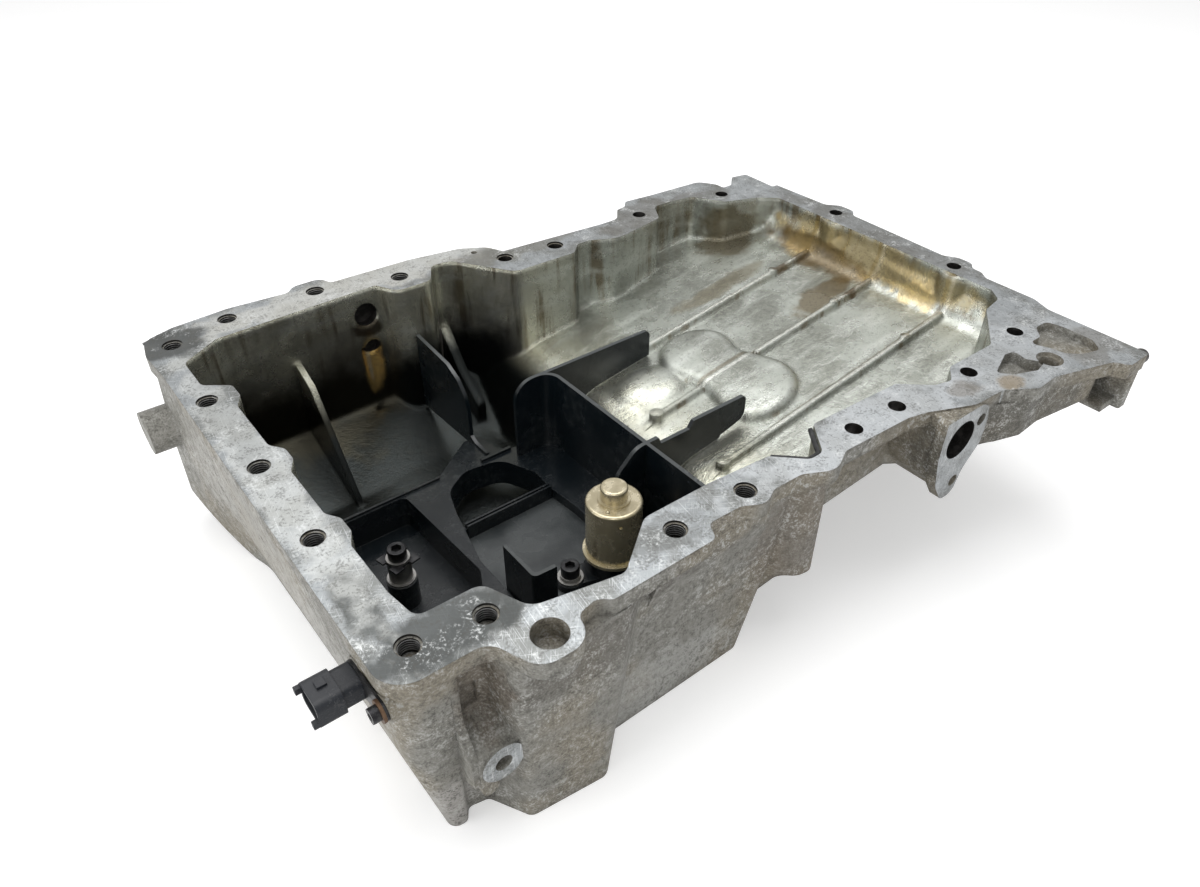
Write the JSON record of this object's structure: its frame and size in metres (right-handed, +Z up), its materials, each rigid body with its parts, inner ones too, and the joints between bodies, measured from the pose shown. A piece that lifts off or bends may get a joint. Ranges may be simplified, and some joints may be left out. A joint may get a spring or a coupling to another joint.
{
  "type": "engine oil pan",
  "caption": "Cast aluminium engine oil pan with a deep sump, a shallow end, a black baffle tray with upright fences, an oil level sensor and a side plug socket.",
  "frame": {"origin": "middle of the footprint of the whole part, on the ground under the deep sump", "axes": "+X along the pan from the deep end to the shallow end, +Y towards the back wall, away from the port, +Z up to the machined gasket face"},
  "size_m": [0.473, 0.357, 0.113],
  "materials": {
    "cast_aluminium": "rough as-cast walls with a machined flange",
    "black_moulding": "satin, wet with oil",
    "yellow_zinc": "satin plated steel",
    "black_steel": "black oxide",
    "grey_steel": "satin",
    "brown_washer": "tarnished",
    "contact_metal": "satin",
    "seal_rubber": "matt",
    "grey_sealant": "matt",
    "dark_sealant": "matt"
  },
  "bodies": {
    "root": {"front_port": "cast_aluminium", "flange_left": "cast_aluminium", "flange_right": "cast_aluminium", "flange_ear": "cast_aluminium", "flange_front": "cast_aluminium", "flange_back": "cast_aluminium", "corner_pocket": "cast_aluminium", "sump_floor": "cast_aluminium", "sump_left": "cast_aluminium", "sump_front": "cast_aluminium", "sump_slope": "cast_aluminium", "sump_back": "cast_aluminium", "sump_brink": "cast_aluminium", "ear_skirt": "cast_aluminium", "shallow_front": "cast_aluminium", "shallow_back": "cast_aluminium", "end_wall": "cast_aluminium", "shallow_floor": "cast_aluminium", "baffle_tray": "black_moulding", "sensor_base": "black_moulding", "level_sensor": "yellow_zinc", "left_screw": "black_steel", "left_washer": "black_steel", "left_clip": "grey_steel", "left_sleeve": "black_steel", "right_screw": "black_steel", "right_lock_washer": "black_steel", "right_flat_washer": "black_steel", "connector_body": "black_moulding", "connector_pins": "contact_metal", "connector_seal": "seal_rubber", "connector_bracket": "grey_steel", "connector_screw": "black_steel", "connector_washer": "brown_washer", "drain_plug": "grey_steel", "drain_washer": "contact_metal", "dowel_pin": "grey_steel", "sealant_curl": "grey_sealant", "sealant_strand": "dark_sealant"}
  },
  "joints": []
}
